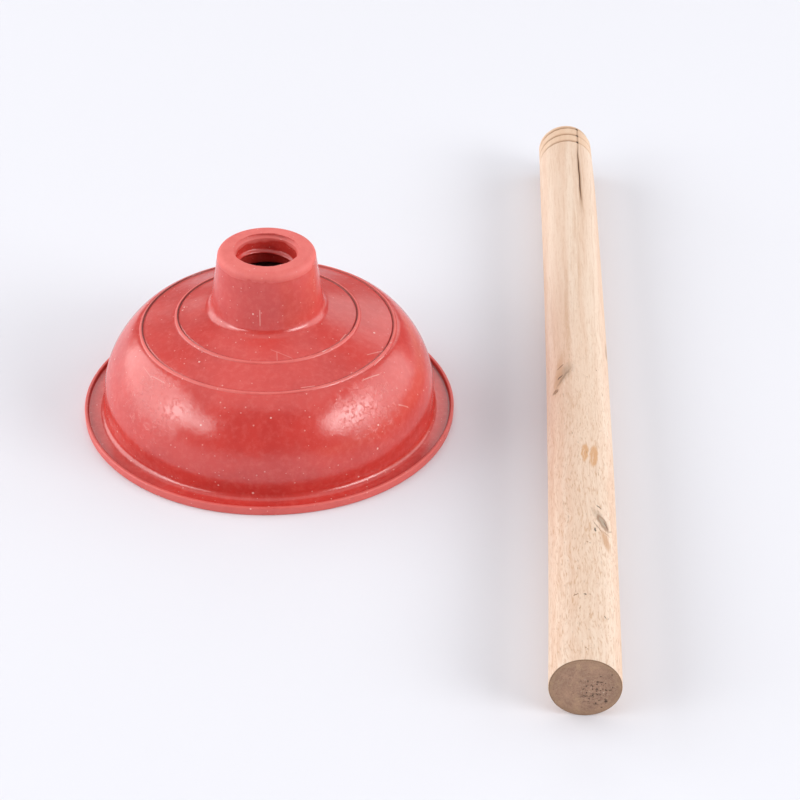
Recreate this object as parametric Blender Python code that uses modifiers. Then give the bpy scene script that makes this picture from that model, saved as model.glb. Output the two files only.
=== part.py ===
"""Sink plunger: a moulded rubber cup with a threaded socket, and a turned wooden handle with a cut thread.

The two pieces are laid out apart on one flat surface: the cup stands on its rim, the handle lies beside it.
Units are metres and +Z is up. The origin is under the middle of the whole layout's box, on the surface.
The cup is one moulding, built as two solids so that its socket can press down into its bell.
"""

import math

import bpy
import bmesh
from mathutils import Vector

# Cup: the rim that seals on the sink
RIM_RADIUS = 0.075
RIM_HEIGHT = 0.0036
LIP_THICKNESS = 0.0014
CHANNEL_HEIGHT = 0.0018
FOOT_FILLET = 0.0026
EDGE_SOFTNESS = 0.0005

# Cup: the bell, a steep wall under a shallow conical crown
BELL_RADIUS = 0.0666
BELL_WALL = 0.0038
WALL_TOP_HEIGHT = 0.0107
CROWN_EDGE_RADIUS = 0.0513
CROWN_EDGE_HEIGHT = 0.0394
CROWN_SLOPE = 0.322
CROWN_THICKNESS = 0.004
SHOULDER_PULL_IN = 0.0036
SHOULDER_PULL_UP = 0.0149
BEAD_RADII = (0.0362, 0.0505)
BEAD_WIDTH = 0.0012
BEAD_HEIGHT = 0.0005

# Cup: the socket, a drafted neck with a threaded bore
SOCKET_HEIGHT = 0.0738
SOCKET_TOP_RADIUS = 0.0194
SOCKET_EDGE_FILLET = 0.0027
SOCKET_DRAFT = 0.145
SOCKET_FOOT_FILLET = 0.0021
SOCKET_THREAD_DEPTH = 0.0125
CHAMBER_WIDENING = 0.0019
THREAD_RIDGE_HEIGHT = 0.0011
THREAD_RIDGE_RADIUS = 0.0014

# Handle: a round stick, tapered to its threaded tip
HANDLE_RADIUS = 0.0127
HANDLE_LENGTH = 0.392
TIP_RADIUS = 0.0123
TAPER_LENGTH = 0.040
TIP_CHAMFER = 0.0008
BUTT_CHAMFER = 0.0004
THREAD_PITCH = 0.0066
GROOVE_DEPTH = 0.0010
GROOVE_RADIUS = 0.0012
FIRST_GROOVE = 0.0021
THREAD_TURNS = 2.35

# Fits and layout
SOCKET_SQUEEZE = 0.0001
MESH_GAP = 0.0003
HANDLE_GAP = 0.0366
HANDLE_AHEAD = 0.0140

# Fineness of the round shapes
BELL_STEPS = 64
ROUND_STEPS = 48
HELIX_STEPS = 24
CURVE_POINTS = 7
MERGE_DISTANCE = 0.00001
FILLET_HANDLE = 0.45

# Values worked out from the driving sizes
BORE_RADIUS = TIP_RADIUS - SOCKET_SQUEEZE
CHAMBER_RADIUS = BORE_RADIUS + CHAMBER_WIDENING
SOCKET_SIDE_HEIGHT = SOCKET_HEIGHT - SOCKET_EDGE_FILLET
NECK_CORNER_DROP = SOCKET_SIDE_HEIGHT - CROWN_EDGE_HEIGHT - CROWN_SLOPE * (CROWN_EDGE_RADIUS - SOCKET_TOP_RADIUS)
NECK_CORNER_RADIUS = SOCKET_TOP_RADIUS + SOCKET_DRAFT * NECK_CORNER_DROP / (1 - SOCKET_DRAFT * CROWN_SLOPE)
SOCKET_FOOT_RADIUS = NECK_CORNER_RADIUS + SOCKET_FOOT_FILLET
HANDLE_REST_HEIGHT = max(HANDLE_RADIUS, TIP_RADIUS)
HANDLE_OFFSET = RIM_RADIUS + HANDLE_GAP + HANDLE_REST_HEIGHT
CUP_X = (RIM_RADIUS - HANDLE_OFFSET - HANDLE_REST_HEIGHT) / 2
CUP_Y = -HANDLE_AHEAD
HANDLE_X = CUP_X + HANDLE_OFFSET


def clear_scene():
    for obj in list(bpy.data.objects):
        bpy.data.objects.remove(obj, do_unlink=True)


def new_collection(name):
    collection = bpy.data.collections.new(name)
    bpy.context.scene.collection.children.link(collection)
    return collection


def make_material(name, color, roughness):
    material = bpy.data.materials.new(name)
    material.use_nodes = True
    shader = material.node_tree.nodes["Principled BSDF"]
    shader.inputs["Base Color"].default_value = (*color, 1.0)
    shader.inputs["Roughness"].default_value = roughness
    shader.inputs["Metallic"].default_value = 0.0
    return material


def arc(center_r, center_z, radius, start, end, points=CURVE_POINTS):
    """Points on a circular arc in the (radius, height) plane, angles in degrees."""
    step = (end - start) / (points - 1)
    angles = [math.radians(start + step * i) for i in range(points)]
    return [(center_r + radius * math.cos(a), center_z + radius * math.sin(a)) for a in angles]


def bezier(p0, p1, p2, p3, points=CURVE_POINTS):
    """Points on a cubic curve, both ends included."""
    result = []
    for i in range(points):
        t = i / (points - 1)
        weights = ((1 - t) ** 3, 3 * t * (1 - t) ** 2, 3 * t * t * (1 - t), t ** 3)
        result.append(tuple(sum(w * p[k] for w, p in zip(weights, (p0, p1, p2, p3))) for k in range(2)))
    return result


def crown_height(radius):
    """Height of the crown's outer surface, a shallow cone."""
    return CROWN_EDGE_HEIGHT + CROWN_SLOPE * (CROWN_EDGE_RADIUS - radius)


def bead(radius):
    """A raised ring on the crown, from its inner foot to its outer foot."""
    offsets = ((-0.5, 0.0), (-0.3, 0.85), (0.0, 1.0), (0.3, 0.85), (0.5, 0.0))
    return [
        (radius + across * BEAD_WIDTH, crown_height(radius + across * BEAD_WIDTH) + up * BEAD_HEIGHT)
        for across, up in offsets
    ]


def turned_object(name, profile, closed, steps, collection, material):
    """A solid of revolution about its own Z axis, from (radius, height) points that run down its outer side."""
    mesh = bpy.data.meshes.new(name)
    shape = bmesh.new()
    verts = [shape.verts.new((radius, 0.0, height)) for radius, height in profile]
    for first, second in zip(verts, verts[1:]):
        shape.edges.new((first, second))
    if closed:
        shape.edges.new((verts[-1], verts[0]))
    shape.to_mesh(mesh)
    shape.free()
    obj = bpy.data.objects.new(name, mesh)
    collection.objects.link(obj)
    mesh.materials.append(material)
    screw = obj.modifiers.new("turn", "SCREW")
    screw.steps = steps
    screw.render_steps = steps
    screw.use_merge_vertices = True
    screw.merge_threshold = MERGE_DISTANCE
    screw.use_smooth_shade = True
    return obj


def helix_solid(name, points, radius, collection):
    """A round bar along the points, as a closed mesh object that can join or cut another."""
    curve = bpy.data.curves.new(name + "_path", "CURVE")
    curve.dimensions = "3D"
    curve.bevel_depth = radius
    curve.bevel_resolution = 2
    curve.use_fill_caps = True
    spline = curve.splines.new("POLY")
    spline.points.add(len(points) - 1)
    for target, point in zip(spline.points, points):
        target.co = (*point, 1.0)
    bar = bpy.data.objects.new(name + "_path", curve)
    collection.objects.link(bar)
    bpy.context.view_layer.update()
    depsgraph = bpy.context.evaluated_depsgraph_get()
    mesh = bpy.data.meshes.new_from_object(bar.evaluated_get(depsgraph))
    shape = bmesh.new()
    shape.from_mesh(mesh)
    bmesh.ops.remove_doubles(shape, verts=shape.verts, dist=MERGE_DISTANCE)
    bmesh.ops.recalc_face_normals(shape, faces=shape.faces)
    shape.to_mesh(mesh)
    shape.free()
    solid = bpy.data.objects.new(name, mesh)
    collection.objects.link(solid)
    solid.matrix_world = bar.matrix_world.copy()
    bpy.data.objects.remove(bar)
    solid.hide_render = True
    solid.display_type = "WIRE"
    return solid


def add_boolean(obj, cutter, operation):
    """Cuts or joins with a cutter that shares the object's own coordinates."""
    cutter.parent = obj
    cutter.matrix_world = obj.matrix_world.copy()
    boolean = obj.modifiers.new(operation.lower(), "BOOLEAN")
    boolean.operation = operation
    boolean.solver = "EXACT"
    boolean.object = cutter


def bell_profile():
    inner_edge = SOCKET_FOOT_RADIUS + MESH_GAP
    outer = [(inner_edge, crown_height(inner_edge))]
    for radius in BEAD_RADII:
        outer += bead(radius)
    outer += bezier(
        (CROWN_EDGE_RADIUS, crown_height(CROWN_EDGE_RADIUS)),
        (CROWN_EDGE_RADIUS + SHOULDER_PULL_IN, crown_height(CROWN_EDGE_RADIUS + SHOULDER_PULL_IN)),
        (BELL_RADIUS, WALL_TOP_HEIGHT + SHOULDER_PULL_UP),
        (BELL_RADIUS, WALL_TOP_HEIGHT),
    )
    outer += arc(BELL_RADIUS + FOOT_FILLET, CHANNEL_HEIGHT + FOOT_FILLET, FOOT_FILLET, 180, 270, 5)
    lip_inside = RIM_RADIUS - LIP_THICKNESS
    lip = [
        (lip_inside - EDGE_SOFTNESS, CHANNEL_HEIGHT),
        (lip_inside, CHANNEL_HEIGHT + EDGE_SOFTNESS),
        (lip_inside, RIM_HEIGHT - EDGE_SOFTNESS),
        (lip_inside + EDGE_SOFTNESS, RIM_HEIGHT),
        (RIM_RADIUS - EDGE_SOFTNESS, RIM_HEIGHT),
        (RIM_RADIUS, RIM_HEIGHT - EDGE_SOFTNESS),
        (RIM_RADIUS, EDGE_SOFTNESS),
        (RIM_RADIUS - EDGE_SOFTNESS, 0.0),
    ]
    inner_radius = BELL_RADIUS - BELL_WALL
    inner_crown_radius = CROWN_EDGE_RADIUS - CROWN_THICKNESS / 2
    inner_crown_height = crown_height(inner_crown_radius) - CROWN_THICKNESS
    inner = [(inner_radius + EDGE_SOFTNESS, 0.0), (inner_radius, EDGE_SOFTNESS)]
    inner += bezier(
        (inner_radius, WALL_TOP_HEIGHT),
        (inner_radius, WALL_TOP_HEIGHT + SHOULDER_PULL_UP * 0.8),
        (
            inner_crown_radius + SHOULDER_PULL_IN,
            inner_crown_height - CROWN_SLOPE * SHOULDER_PULL_IN,
        ),
        (inner_crown_radius, inner_crown_height),
    )
    inner.append((inner_edge, crown_height(inner_edge) - CROWN_THICKNESS))
    return outer + lip + inner


def neck_point(height):
    """The neck's straight side at a height: its radius grows downwards by the draft."""
    return (SOCKET_TOP_RADIUS + SOCKET_DRAFT * (SOCKET_SIDE_HEIGHT - height), height)


def crown_point(radius):
    """The crown's outer face at a radius."""
    return (radius, crown_height(radius))


def socket_profile():
    corner_height = crown_height(NECK_CORNER_RADIUS)
    underside = crown_height(SOCKET_FOOT_RADIUS) - CROWN_THICKNESS
    profile = [(BORE_RADIUS, SOCKET_HEIGHT)]
    profile += arc(SOCKET_TOP_RADIUS - SOCKET_EDGE_FILLET, SOCKET_SIDE_HEIGHT, SOCKET_EDGE_FILLET, 90, 0, 5)
    profile += bezier(
        neck_point(corner_height + SOCKET_FOOT_FILLET),
        neck_point(corner_height + SOCKET_FOOT_FILLET * FILLET_HANDLE),
        crown_point(NECK_CORNER_RADIUS + SOCKET_FOOT_FILLET * FILLET_HANDLE),
        crown_point(SOCKET_FOOT_RADIUS),
        5,
    )
    thread_end = SOCKET_HEIGHT - SOCKET_THREAD_DEPTH
    profile += [
        (SOCKET_FOOT_RADIUS, underside),
        (CHAMBER_RADIUS, underside),
        (CHAMBER_RADIUS, thread_end - CHAMBER_WIDENING),
        (BORE_RADIUS, thread_end),
    ]
    return profile


def thread_ridge_points():
    """Right-hand helix inside the bore, sinking into the wall at both ends."""
    center_radius = BORE_RADIUS - THREAD_RIDGE_HEIGHT + THREAD_RIDGE_RADIUS
    turns = (SOCKET_THREAD_DEPTH - 2 * THREAD_RIDGE_RADIUS) / THREAD_PITCH
    count = round(turns * HELIX_STEPS)
    start_height = SOCKET_HEIGHT - SOCKET_THREAD_DEPTH + THREAD_RIDGE_RADIUS
    points = []
    for i in range(count + 1):
        turn = turns * i / count
        fade = max(0.0, 1.0 - min(i, count - i) / (HELIX_STEPS / 4))
        radius = center_radius + fade * THREAD_RIDGE_HEIGHT
        angle = 2 * math.pi * turn
        height = start_height + THREAD_PITCH * turn
        points.append((radius * math.cos(angle), radius * math.sin(angle), height))
    return points


def handle_radius(from_tip):
    """Radius of the stick at a distance from its tip: straight, then a slow taper."""
    share = min(max(from_tip / TAPER_LENGTH, 0.0), 1.0)
    return TIP_RADIUS + (HANDLE_RADIUS - TIP_RADIUS) * share


def handle_profile():
    middle = HANDLE_LENGTH / 2
    return [
        (0.0, middle),
        (TIP_RADIUS - TIP_CHAMFER, middle),
        (handle_radius(TIP_CHAMFER), middle - TIP_CHAMFER),
        (handle_radius(TAPER_LENGTH), middle - TAPER_LENGTH),
        (HANDLE_RADIUS, BUTT_CHAMFER - middle),
        (HANDLE_RADIUS - BUTT_CHAMFER, -middle),
        (0.0, -middle),
    ]


def thread_groove_points():
    """Right-hand helix on the tip: it starts off the end, and rises out of the wood after the last turn."""
    run_in = (FIRST_GROOVE + GROOVE_RADIUS) / THREAD_PITCH
    turns = THREAD_TURNS + run_in
    count = round(turns * HELIX_STEPS)
    points = []
    for i in range(count + 1):
        turn = turns * i / count - run_in
        from_tip = FIRST_GROOVE + THREAD_PITCH * turn
        fade = max(0.0, 1.0 - (count - i) / (HELIX_STEPS / 4))
        radius = handle_radius(from_tip) - GROOVE_DEPTH + GROOVE_RADIUS + fade * 2 * GROOVE_DEPTH
        angle = -math.pi / 2 - 2 * math.pi * turn
        height = HANDLE_LENGTH / 2 - from_tip
        points.append((radius * math.cos(angle), radius * math.sin(angle), height))
    return points


def make_bell(cup, collection, rubber):
    bell = turned_object("cup_bell", bell_profile(), True, BELL_STEPS, collection, rubber)
    bell.parent = cup
    return bell


def make_socket(cup, collection, cutters, rubber):
    socket = turned_object("cup_socket", socket_profile(), True, ROUND_STEPS, collection, rubber)
    socket.parent = cup
    bpy.context.view_layer.update()
    ridge = helix_solid("socket_thread", thread_ridge_points(), THREAD_RIDGE_RADIUS, cutters)
    add_boolean(socket, ridge, "UNION")
    return socket


def make_handle(collection, cutters, wood):
    handle = turned_object("handle", handle_profile(), False, ROUND_STEPS, collection, wood)
    handle.location = (HANDLE_X, 0.0, HANDLE_REST_HEIGHT)
    handle.rotation_euler = (-math.pi / 2, 0.0, 0.0)
    bpy.context.view_layer.update()
    groove = helix_solid("handle_thread", thread_groove_points(), GROOVE_RADIUS, cutters)
    add_boolean(handle, groove, "DIFFERENCE")
    return handle


def main():
    clear_scene()
    collection = new_collection("sink_plunger")
    cutters = new_collection("cutters")
    rubber = make_material("red_rubber", (0.62, 0.09, 0.075), 0.5)
    wood = make_material("pale_wood", (0.80, 0.62, 0.45), 0.6)
    cup = bpy.data.objects.new("cup", None)
    cup.location = Vector((CUP_X, CUP_Y, 0.0))
    collection.objects.link(cup)
    make_bell(cup, collection, rubber)
    make_socket(cup, collection, cutters, rubber)
    make_handle(collection, cutters, wood)
    bpy.context.view_layer.update()


main()
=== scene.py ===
# %% [markdown]
# # A sink plunger: a red rubber cup and a wooden handle
# The plunger comes apart into two pieces. The cup is moulded in one from red rubber: a bell with a lip
# round its rim, and a socket with a thread inside. The handle is a pale stick, turned round, with a coarse
# thread cut into one end. Here they lie apart on a white table. The frame holds their true sizes and
# places, so everything starts from it.

# %% The frame and its sizes
import math

import bmesh
import bpy
from mathutils import Matrix, Vector, noise


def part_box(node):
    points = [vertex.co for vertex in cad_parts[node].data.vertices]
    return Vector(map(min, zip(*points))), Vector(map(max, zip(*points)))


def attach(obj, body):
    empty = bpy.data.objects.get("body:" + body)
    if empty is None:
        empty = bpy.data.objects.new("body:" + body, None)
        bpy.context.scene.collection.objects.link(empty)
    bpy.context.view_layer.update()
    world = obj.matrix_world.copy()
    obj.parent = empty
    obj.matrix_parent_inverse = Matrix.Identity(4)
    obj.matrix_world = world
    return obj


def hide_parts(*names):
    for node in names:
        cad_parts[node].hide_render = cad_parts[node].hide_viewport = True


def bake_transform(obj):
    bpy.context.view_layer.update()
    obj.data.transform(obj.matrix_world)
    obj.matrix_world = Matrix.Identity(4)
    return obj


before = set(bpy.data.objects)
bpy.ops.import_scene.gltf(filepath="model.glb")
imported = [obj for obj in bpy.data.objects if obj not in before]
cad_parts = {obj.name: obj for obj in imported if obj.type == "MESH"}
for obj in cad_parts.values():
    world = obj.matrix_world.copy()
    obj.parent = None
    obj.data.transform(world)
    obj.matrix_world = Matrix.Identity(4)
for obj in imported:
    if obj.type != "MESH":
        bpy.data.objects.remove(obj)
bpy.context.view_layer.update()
MM = 0.001

bell_low, bell_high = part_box("cup_bell")
socket_low, socket_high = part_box("cup_socket")
stick_low, stick_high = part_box("handle")
cup_center = Vector(((bell_low.x + bell_high.x) / 2, (bell_low.y + bell_high.y) / 2, 0.0))
rim_radius = (bell_high.x - bell_low.x) / 2
socket_foot_radius = (socket_high.x - socket_low.x) / 2
socket_top = socket_high.z
stick_center = (stick_low + stick_high) / 2
stick_radius = (stick_high.z - stick_low.z) / 2
stick_length = stick_high.y - stick_low.y
print(f"cup {2 * rim_radius / MM:.0f} mm across, {socket_top / MM:.1f} mm high; "
      f"handle {2 * stick_radius / MM:.1f} mm thick, {stick_length / MM:.0f} mm long")

# %% [markdown]
# ## The camera
# A long lens from about a metre away, looking down at the table, keeps the cup's ellipses flat and the
# handle's sides almost parallel. The camera comes first, so that every later render can be judged from the
# same place.

# %% Camera
CAMERA_PLACE = Vector((0.0484, -0.7982, 0.5291))
CAMERA_DOWN = math.radians(33.71)
CAMERA_HEADING = math.radians(1.90)
CAMERA_ROLL = math.radians(1.18)
LENS_MM = 104.4

camera_data = bpy.data.cameras.new("camera")
camera_data.lens = LENS_MM
camera_data.sensor_width = 36.0
camera_data.clip_start = 0.05
camera = bpy.data.objects.new("camera", camera_data)
bpy.context.scene.collection.objects.link(camera)
camera.matrix_world = (
    Matrix.Translation(CAMERA_PLACE)
    @ Matrix.Rotation(CAMERA_HEADING, 4, "Z")
    @ Matrix.Rotation(math.pi / 2 - CAMERA_DOWN, 4, "X")
    @ Matrix.Rotation(CAMERA_ROLL, 4, "Z")
)
bpy.context.scene.camera = camera
print("camera", [round(value, 3) for value in camera.location])

# %% [markdown]
# ## The cup's outline
# A moulded cup is a turned shape, so its mesh is one outline spun about a vertical axis. The outline is a
# closed loop of (radius, height) points: over the socket, down the crown and the wall, round the lip, and
# back up the inside. Straight stretches need only their ends, but they get more points where the thread or
# the sag moves them later.

# %% Helpers for outlines
def arc(center_r, center_z, radius, start, end, points):
    """Points on a circular arc, angles in degrees."""
    step = (end - start) / (points - 1)
    angles = [math.radians(start + step * i) for i in range(points)]
    return [(center_r + radius * math.cos(a), center_z + radius * math.sin(a)) for a in angles]


def bezier(p0, p1, p2, p3, points):
    """Points on a cubic curve, both ends included."""
    result = []
    for i in range(points):
        t = i / (points - 1)
        weights = ((1 - t) ** 3, 3 * t * (1 - t) ** 2, 3 * t * t * (1 - t), t ** 3)
        result.append(tuple(sum(w * p[k] for w, p in zip(weights, (p0, p1, p2, p3))) for k in (0, 1)))
    return result


def straight(start, end, points):
    """Points along a line, without its first one."""
    shares = [i / points for i in range(1, points + 1)]
    return [(start[0] + (end[0] - start[0]) * s, start[1] + (end[1] - start[1]) * s) for s in shares]


def smoothstep(low, high, value):
    """0 below low, 1 above high, with a soft change between them."""
    share = min(max((value - low) / (high - low), 0.0), 1.0)
    return share * share * (3 - 2 * share)


# %% Sizes of the cup's wall
CROWN_EDGE = 51.3 * MM
CROWN_EDGE_HEIGHT = 39.4 * MM
CROWN_SLOPE = 0.322
CROWN_THICKNESS = 4.0 * MM
SHOULDER_IN = 3.6 * MM
SHOULDER_UP = 14.9 * MM
BELL_RADIUS = 66.6 * MM
BELL_WALL = 3.8 * MM
WALL_TOP = 10.7 * MM
CHANNEL_HEIGHT = 1.8 * MM
LIP_HEIGHT = 3.6 * MM
LIP_THICKNESS = 1.4 * MM
BEADS = (36.2 * MM, 50.5 * MM)
NECK_RADIUS = 19.4 * MM
NECK_DRAFT = 0.145
NECK_FILLET = 2.1 * MM
SOCKET_EDGE = 2.7 * MM
BORE_RADIUS = 12.2 * MM
CHAMBER_RADIUS = 14.1 * MM
BORE_THREAD_DEPTH = 12.5 * MM
PITCH = 6.6 * MM


def crown_height(radius):
    """Height of the crown's outer face, a shallow cone."""
    return CROWN_EDGE_HEIGHT + CROWN_SLOPE * (CROWN_EDGE - radius)


def bead(radius):
    """A raised ring on the crown: a tight groove at its inner foot, a steep inner side, a round back."""
    shape = ((-1.1, 0.0), (-0.86, -0.1), (-0.68, -0.3), (-0.5, -0.3), (-0.42, 0.1), (-0.34, 0.46),
             (-0.18, 0.62), (0.06, 0.6), (0.2, 0.56), (0.36, 0.6),
             (0.5, 0.48), (0.6, 0.16), (0.8, 0.02), (1.1, 0.0))
    return [(radius + across * MM, crown_height(radius + across * MM) + up * MM) for across, up in shape]


# %% The outline itself
def socket_outline():
    """Over the torn flash, the top face, its round edge, the drafted side and the foot's fillet."""
    side_height = socket_top - SOCKET_EDGE
    corner_radius = socket_foot_radius - NECK_FILLET
    corner_height = crown_height(corner_radius)

    def side_point(height):
        return (NECK_RADIUS + NECK_DRAFT * (side_height - height), height)

    shape = ((1.4, -1.3), (1.45, -0.5), (0.8, -0.34), (0.62, -0.1), (0.8, 0.08), (1.2, -0.02))
    flash = [(BORE_RADIUS + out * MM, socket_top + up * MM) for out, up in shape]
    face = straight(flash[-1], (NECK_RADIUS - SOCKET_EDGE, socket_top - 0.02 * MM), 6)
    edge = arc(NECK_RADIUS - SOCKET_EDGE, side_height, SOCKET_EDGE, 88, 0, 10)
    side = straight(edge[-1], side_point(corner_height + NECK_FILLET), 16)
    fillet = bezier(
        side[-1],
        side_point(corner_height + 0.45 * NECK_FILLET),
        (corner_radius + 0.45 * NECK_FILLET, crown_height(corner_radius + 0.45 * NECK_FILLET)),
        (socket_foot_radius, crown_height(socket_foot_radius)),
        9,
    )
    return flash + face + edge + side + fillet[1:]


def bell_outline():
    """Down the crown over both beads, round the shoulder and down the wall into the lip's channel."""
    outline = straight((socket_foot_radius, crown_height(socket_foot_radius)),
                       (BEADS[0] - 1.5 * MM, crown_height(BEADS[0] - 1.5 * MM)), 4)
    outline += bead(BEADS[0])
    outline += straight(outline[-1], (BEADS[1] - 1.5 * MM, crown_height(BEADS[1] - 1.5 * MM)), 7)
    outline += bead(BEADS[1])
    shoulder = CROWN_EDGE + 0.5 * MM
    outline += bezier(
        (shoulder, crown_height(shoulder)),
        (shoulder + SHOULDER_IN, crown_height(shoulder + SHOULDER_IN)),
        (BELL_RADIUS, WALL_TOP + SHOULDER_UP),
        (BELL_RADIUS, WALL_TOP),
        26,
    )
    fillet = 2.6 * MM
    outline += straight((BELL_RADIUS, WALL_TOP), (BELL_RADIUS, CHANNEL_HEIGHT + fillet), 4)[:-1]
    outline += arc(BELL_RADIUS + fillet, CHANNEL_HEIGHT + fillet, fillet, 180, 270, 9)
    return outline


def lip_outline():
    """The channel's floor, the thin upstanding lip, and the flat underside that seals."""
    inside = rim_radius - LIP_THICKNESS
    soft = 0.55 * MM
    outline = [(inside - 1.2 * MM, CHANNEL_HEIGHT - 0.05 * MM)]
    outline += arc(inside - 0.5 * MM, CHANNEL_HEIGHT + 0.45 * MM, 0.5 * MM, 270, 360, 4)
    outline += arc(inside + soft, LIP_HEIGHT - soft, soft, 180, 90, 5)
    outline += arc(rim_radius - soft, LIP_HEIGHT - soft, soft, 90, 0, 5)
    outline += straight(outline[-1], (rim_radius - 0.1 * MM, 0.8 * MM), 4)
    outline += arc(rim_radius - 0.1 * MM - soft, soft, soft, 0, -90, 5)
    outline += straight(outline[-1], (BELL_RADIUS - BELL_WALL + 1.0 * MM, 0.0), 6)
    return outline


def inner_outline():
    """Up the inside of the bell, along the crown's underside and up through the socket."""
    radius = BELL_RADIUS - BELL_WALL
    crown_radius = CROWN_EDGE - CROWN_THICKNESS / 2
    crown = crown_height(crown_radius) - CROWN_THICKNESS
    foot = crown_height(socket_foot_radius) - CROWN_THICKNESS
    thread_end = socket_top - BORE_THREAD_DEPTH
    outline = arc(radius + 1.0 * MM, 1.0 * MM, 1.0 * MM, 270, 180, 5)[1:]
    outline += straight(outline[-1], (radius, WALL_TOP), 4)
    outline += bezier((radius, WALL_TOP), (radius, WALL_TOP + 0.8 * SHOULDER_UP),
                      (crown_radius + SHOULDER_IN, crown - CROWN_SLOPE * SHOULDER_IN),
                      (crown_radius, crown), 18)[1:]
    outline += straight(outline[-1], (socket_foot_radius, foot), 8)
    outline += straight(outline[-1], (CHAMBER_RADIUS + 2.0 * MM, foot), 3)
    outline += arc(CHAMBER_RADIUS + 2.0 * MM, foot + 2.0 * MM, 2.0 * MM, 270, 180, 5)[1:]
    outline += straight(outline[-1], (CHAMBER_RADIUS, thread_end - 1.8 * MM), 5)
    outline += straight(outline[-1], (BORE_RADIUS, thread_end), 3)
    outline += straight(outline[-1], (BORE_RADIUS, socket_top - 1.6 * MM), 32)
    return outline


cup_outline = socket_outline() + bell_outline() + lip_outline() + inner_outline()
print("cup outline:", len(cup_outline), "points")

# %% [markdown]
# ## Spinning the cup
# bmesh's spin operator sweeps the outline round the axis and merges the last turn with the first. Small
# faces matter only where the mouth is torn, so one even step all round is enough.

# %% Spin the outline
CUP_STEPS = 288


def spun(outline, steps, center, axis, place):
    """A bmesh swept from an outline. place turns (radius, along) into a point beside the axis."""
    shape = bmesh.new()
    verts = [shape.verts.new(place(radius, along)) for radius, along in outline]
    edges = [shape.edges.new(pair) for pair in zip(verts, verts[1:])]
    if outline[0][0] > 0.0:
        edges.append(shape.edges.new((verts[-1], verts[0])))
    bmesh.ops.spin(shape, geom=verts + edges, cent=center, axis=axis,
                   angle=2 * math.pi, steps=steps, use_merge=True)
    bmesh.ops.remove_doubles(shape, verts=shape.verts, dist=0.001 * MM)
    bmesh.ops.recalc_face_normals(shape, faces=shape.faces)
    return shape


cup_shape = spun(cup_outline, CUP_STEPS, cup_center, (0, 0, 1),
                 lambda radius, along: cup_center + Vector((radius, 0.0, along)))
print("cup:", len(cup_shape.verts), "vertices")

# %% [markdown]
# ## The thread and the torn mouth
# The socket's thread is one rounded ridge that climbs the bore like a spring. Its height at any point
# follows from how far the point is from the nearest turn. At the mouth the mould leaves a thin web that
# tears when the core is pulled, so that edge moves in and out by a noise that changes quickly round the
# circle.

# %% Thread ridge, torn mouth and a cup that isn't quite true
RIDGE_HEIGHT = 1.2 * MM
RIDGE_HALF_WIDTH = 1.35 * MM
TORN_OUT = 0.24 * MM
TORN_UP = 0.08 * MM
SAG = 1.0
SAG_SIDE = math.radians(145)


def ridge_height(angle, height):
    """How far the thread stands into the bore at this place."""
    turn = height / PITCH - angle / (2 * math.pi) + 0.28
    away = abs(turn - round(turn)) * PITCH
    if away > RIDGE_HALF_WIDTH:
        return 0.0
    low = socket_top - BORE_THREAD_DEPTH
    fade_in = smoothstep(low, low + 1.0 * MM, height)
    fade_out = 1 - smoothstep(socket_top - 4.2 * MM, socket_top - 2.4 * MM, height)
    return RIDGE_HEIGHT * math.cos(away / RIDGE_HALF_WIDTH * math.pi / 2) ** 2 * (fade_in * fade_out)


def torn(angle, seed):
    """A ragged value round the circle, about -1 to 1."""
    point = Vector((math.cos(angle) * 4.0, math.sin(angle) * 4.0, seed))
    return noise.noise(point) + 0.7 * noise.noise(point * 3.1)


def shape_cup_vertex(vertex):
    local = vertex.co - cup_center
    radius, height = math.hypot(local.x, local.y), local.z
    angle = math.atan2(local.y, local.x)
    move_out, move_up = 0.0, 0.0
    if radius < BORE_RADIUS + 0.01 * MM and height < socket_top - 1.2 * MM:
        move_out -= ridge_height(angle, height)
    elif radius < BORE_RADIUS + 0.9 * MM and height > socket_top - 0.5 * MM:
        move_out -= TORN_OUT * torn(angle, 1.0)
        move_up += TORN_UP * torn(angle, 5.0)
    outer = smoothstep(40 * MM, 62 * MM, radius)
    move_out += (0.2 * noise.noise(local * 22.0) + 0.4 * math.cos(angle)) * outer * MM
    sagged = max(0.0, math.cos(angle - SAG_SIDE)) * smoothstep(24 * MM, 52 * MM, radius)
    up = 0.15 * noise.noise(local * 17.0 + Vector((3, 1, 7))) - SAG * sagged
    move_up += up * MM * smoothstep(1 * MM, 14 * MM, height)
    outward = Vector((local.x, local.y, 0.0)) / max(radius, 1e-9)
    vertex.co += outward * move_out + Vector((0, 0, move_up))


for vertex in cup_shape.verts:
    shape_cup_vertex(vertex)
print("cup: thread ridge", RIDGE_HEIGHT / MM, "mm high, pitch", PITCH / MM, "mm")

# %% [markdown]
# ## Where the dust, the painted highlight and the painted shade sit
# Handling dust and bloom whiten the rubber on its proud places: the socket's top face, the back of each
# bead and the lip; on the back of each bead the pale colour is also a painted highlight. Painted shade
# darkens the creases, the lip's inner foot and the socket's depth. Two numbers on every vertex say how much
# dust and painted highlight and how much painted shade the place gets, and the material reads them. They
# follow the surface, so they stay right when the cup is pressed.

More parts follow.
